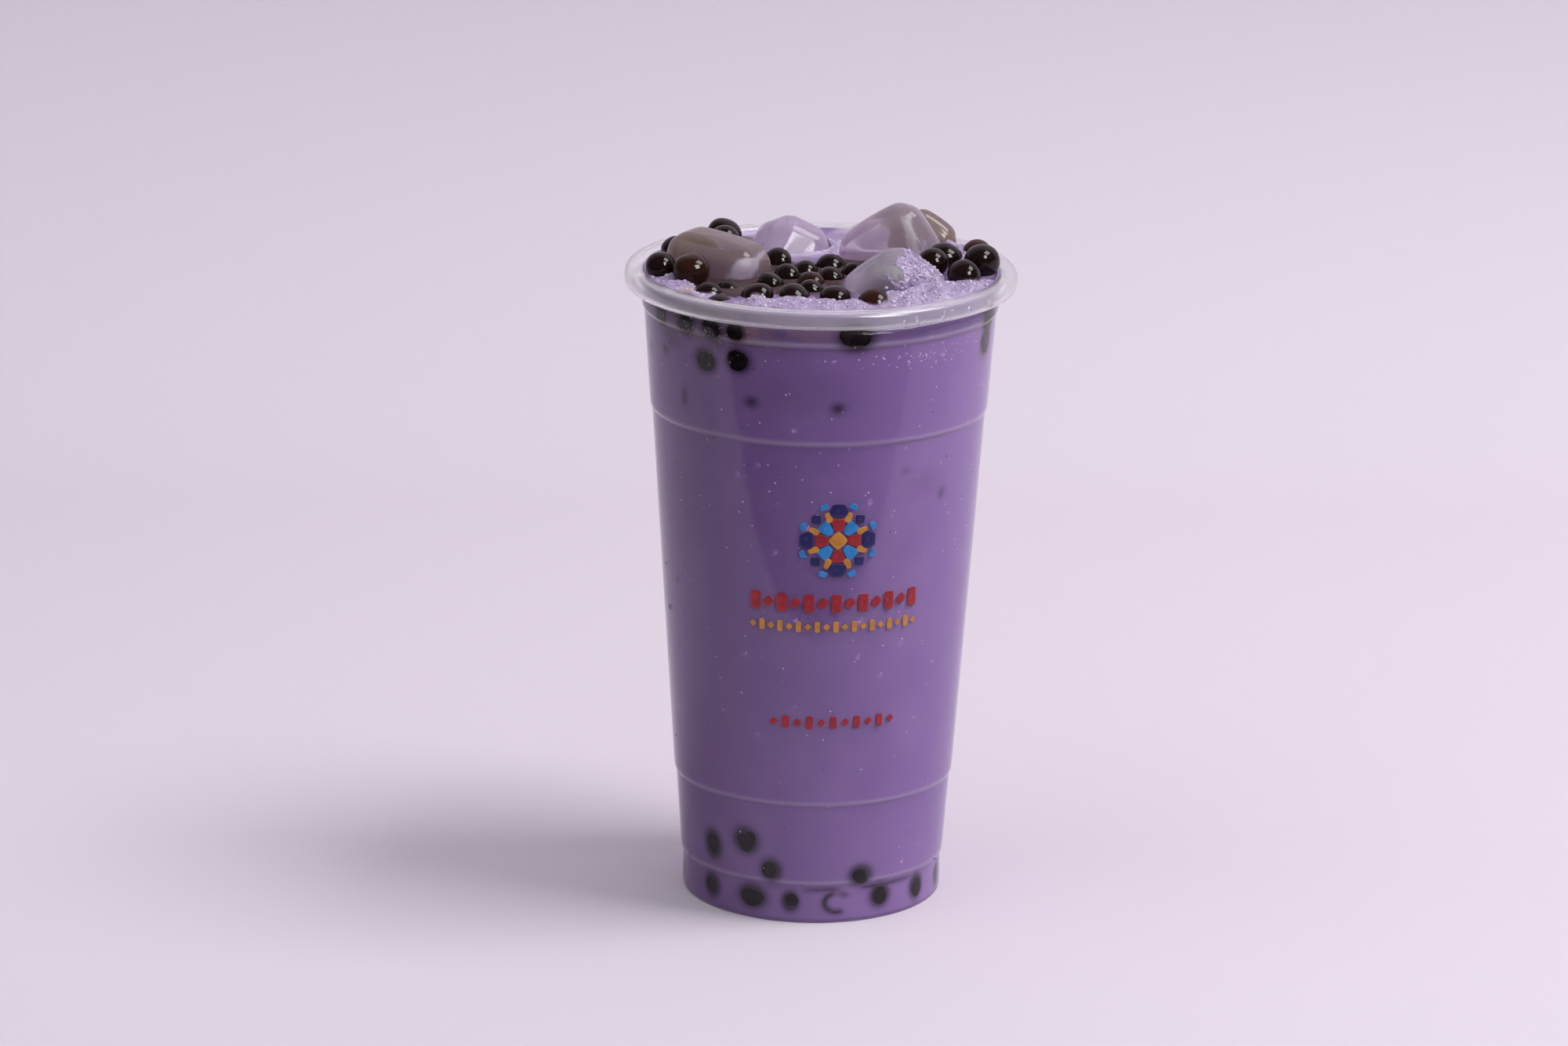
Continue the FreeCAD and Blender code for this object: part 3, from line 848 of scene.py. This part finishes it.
def tile(across, up, width, tall, turn=0.0, taper=0.0):
    """(points, faces) of a film of ink on the cup: a rounded square, narrowed upwards by taper and turned."""
    size = np.array([0.05, 0.35, 0.7, 0.97, 1.0, 1.0, 0.7, 0.35, 0.05])[::-1, None, None]
    lift = np.array([-0.05, -0.05, -0.05, -0.05, 0.0, 0.03, 0.05, 0.05, 0.05])[:, None]
    flat = square * size
    u = flat[..., 0] * width * (1 - taper * 2 * flat[..., 1])
    v = flat[..., 1] * tall
    a = np.radians(turn)
    around, z = across + u * np.cos(a) - v * np.sin(a), up + u * np.sin(a) + v * np.cos(a)

    def laid(around, z, lift):
        """Points on the cup's side at a way round and a height in millimetres, raised off it by lift."""
        radius = side_radius(z) + lift
        angle = np.radians(print_bearing) + around / side_radius(z)
        return mm * np.stack([radius * np.cos(angle), radius * np.sin(angle), z], -1)

    ends = laid(np.array([across, across]), np.array([up, up], float), np.array([-0.05, 0.05]))
    return skin(laid(around, z, lift + 0 * z)[:, ::-1], ends[1], ends[0])


spin = np.arange(8) * 45.0
centre_height = 99.4
tiles = {name: [] for name in inks}


def ring_of_tiles(ink, angles, distance, width, tall, taper=0.0, turn=0.0):
    """Tiles of one ink round the rosette's centre."""
    for angle in angles:
        a = np.radians(angle)
        tiles[ink].append(tile(distance * np.sin(a), centre_height + distance * np.cos(a), width, tall,
                               -angle + turn, taper))


ring_of_tiles("ochre", [0], 0, 3.6, 3.6, turn=45)
ring_of_tiles("crimson", spin[::2], 3.9, 3.0, 3.2, -0.35)
ring_of_tiles("sky", spin[1::2], 4.1, 2.8, 3.4, -0.35)
ring_of_tiles("navy", spin[::2], 7.6, 4.2, 3.2, 0.30)
ring_of_tiles("navy", spin[1::2], 7.5, 2.2, 2.2, turn=45)
ring_of_tiles("ochre", spin + 22.5, 6.3, 1.5, 2.6, 0.2)
ring_of_tiles("sky", spin + 22.5, 9.2, 2.0, 1.4, 0.2)
for ink, row_height, count, pitch, width, tall in (
    ("crimson", 83.4, 13, 3.3, 2.6, 4.6), ("ochre", 77.4, 19, 2.25, 1.3, 2.8),
    ("crimson", 52.8, 11, 2.9, 1.7, 3.2),
):
    for place in np.arange(count) - (count - 1) / 2:
        if place % 2 == 0:
            tiles[ink].append(tile(place * pitch, row_height, width, tall))
        else:
            tiles[ink].append(tile(place * pitch, row_height, width, tall * 0.45, 45))
for name, colour in inks.items():
    points, faces = joined(tiles[name])
    ink, tree, shader = new_material(name + " ink")
    thin = tuple(0.78 * part for part in colour[:3]) + (1,)
    tree.links.new(blend(tree, grain(tree, 500, 3, 0.38, 0.66), colour, thin), shader.inputs["Base Color"])
    shader.inputs["Roughness"].default_value = 0.35
    film_of_ink = add_mesh("print_" + name, points, faces, ink)
    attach(film_of_ink, "root")


# ---- Bubbles, flecks and drops ----
# Larger bubbles in the froth and on the front cube, milk bubbles and dark flecks against the inside of the
# cup, and a few drops of water on its outside.

rng = np.random.default_rng(7)
bead = directions(6, 8)


def beads(centres, radii, squash=(1, 1, 1)):
    """(points, faces) of many small balls at once."""
    rings_, ends = bead * squash, poles * squash
    one_points, one_faces = skin(rings_, *ends)
    points = centres[:, None, :] + radii[:, None, None] * one_points[None]
    start = np.arange(len(centres)) * len(one_points)
    four = np.array([face for face in one_faces if len(face) == 4])
    three = np.array([face for face in one_faces if len(face) == 3])
    faces = (four[None] + start[:, None, None]).reshape(-1, 4).tolist()
    return points.reshape(-1, 3), faces + (three[None] + start[:, None, None]).reshape(-1, 3).tolist()


tries, most_in_froth, most_on_ice = 60000, 1500, 900
spots = rng.uniform(-mouth * mm, mouth * mm, (tries, 2))
spots = spots[np.hypot(*spots.T) < (mouth - 0.8) * mm]
thick = np.minimum(froth_height(*spots.T), highest_froth * mm)
likely = np.clip(thick / mm, 0, 1.2) / 1.2
chosen = rng.random(len(spots)) < 0.5 * likely
spots, thick = spots[chosen], thick[chosen]
sizes = mm * (0.14 + 0.55 * rng.random(len(spots)) ** 7)
centres = np.c_[spots, level + thick - 0.3 * sizes]
clear = np.ones(len(centres), bool)
for centre, radius in zip(pearl_centres, pearl_radii):
    clear &= np.linalg.norm(centres - centre, axis=1) > radius
for name in cubes:
    clear &= ice_distance(centres, name) > 0
centres, sizes = centres[clear][:most_in_froth], sizes[clear][:most_in_froth]
on_ice = outer[rng.random(cover.shape) < np.clip((cover + 2.5) / 4.5, 0, 1) ** 2]
on_ice = on_ice[rng.permutation(len(on_ice))[:most_on_ice]]
centres = np.concatenate([centres, on_ice])
sizes = np.concatenate([sizes, mm * (0.12 + 0.36 * rng.random(len(on_ice)) ** 5)])
points, faces = beads(centres, sizes)
bubble_material, tree, shader = new_material("bubble")
shine = blend(tree, grain(tree, 700, 1, 0.4, 0.6), (0.32, 0.25, 0.39, 1), (0.56, 0.48, 0.63, 1))
tree.links.new(shine, shader.inputs["Base Color"])
shader.inputs["Roughness"].default_value = 0.30
bubbles = add_mesh("froth_bubbles", points, faces, bubble_material)
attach(bubbles, "root")


def against_wall(bearing, z, radii):
    """Centres of small balls that lie against the inside of the cup."""
    angle, away = np.radians(bearing), side_radius(z, inset) * mm - 0.3 * radii
    return np.stack([away * np.cos(angle), away * np.sin(angle), z * mm], 1)


def add_flecks(name, colour, rough, centres, radii):
    """One piece of many small balls in one colour."""
    points, faces = beads(centres, radii)
    material, tree, shader = new_material(name)
    shader.inputs["Base Color"].default_value = colour
    shader.inputs["Roughness"].default_value = rough
    item = add_mesh(name, points, faces, material)
    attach(item, "root")


clustered, scattered = 70, 420
bearing = np.concatenate([rng.normal(308, 12, clustered), rng.uniform(0, 360, scattered)])
z = np.concatenate([rng.normal(144.0, 1.2, clustered), 8 + 142 * rng.random(scattered) ** 0.6])
radii = mm * rng.uniform(0.08, 0.26, len(z))
add_flecks("milk_bubbles", (0.55, 0.46, 0.62, 1), 0.3, against_wall(bearing, z, radii), radii)
foamy = 110
bearing, z = rng.normal(230, 14, foamy), rng.normal(148.0, 2.6, foamy).clip(141, 153)
radii = mm * rng.uniform(0.12, 0.34, len(z))
add_flecks("foam_on_wall", (0.19, 0.12, 0.15, 1), 0.4, against_wall(bearing, z, radii), radii)
dark_flecks = 90
bearing, z = rng.uniform(0, 360, dark_flecks), rng.uniform(10, 150, dark_flecks)
radii = mm * rng.uniform(0.10, 0.30, len(z))
add_flecks("tea_flecks", (0.05, 0.02, 0.03, 1), 0.5, against_wall(bearing, z, radii), radii)

# Drops of water on the outside: some on the front right of the rolled rim, and more all over the cup's front
on_rim, on_side = 12, 40
bearing = np.concatenate([rng.uniform(285, 335, on_rim), rng.uniform(195, 345, on_side)])
z = np.concatenate([rng.uniform(153.8, 155.5, on_rim), rng.uniform(6, 146, on_side)])
radii = mm * np.concatenate([rng.uniform(0.35, 0.6, on_rim), rng.uniform(0.2, 0.7, on_side)])
away = np.where(z > roll_start, rim_radius, side_radius(z)) * mm - 0.25 * radii
angle = np.radians(bearing)
points, faces = beads(np.stack([away * np.cos(angle), away * np.sin(angle), z * mm], 1), radii, (1, 1, 1.25))
water, tree, shader = new_material("water")
shader.inputs["Base Color"].default_value = (0.98, 0.97, 0.99, 1)
shader.inputs["Metallic"].default_value = 0
shader.inputs["Transmission Weight"].default_value = 1
shader.inputs["IOR"].default_value = 1.33
shader.inputs["Roughness"].default_value = 0.02
let_light_through(tree, shader)
drops = add_mesh("water_drops", points, faces, water)
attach(drops, "root")
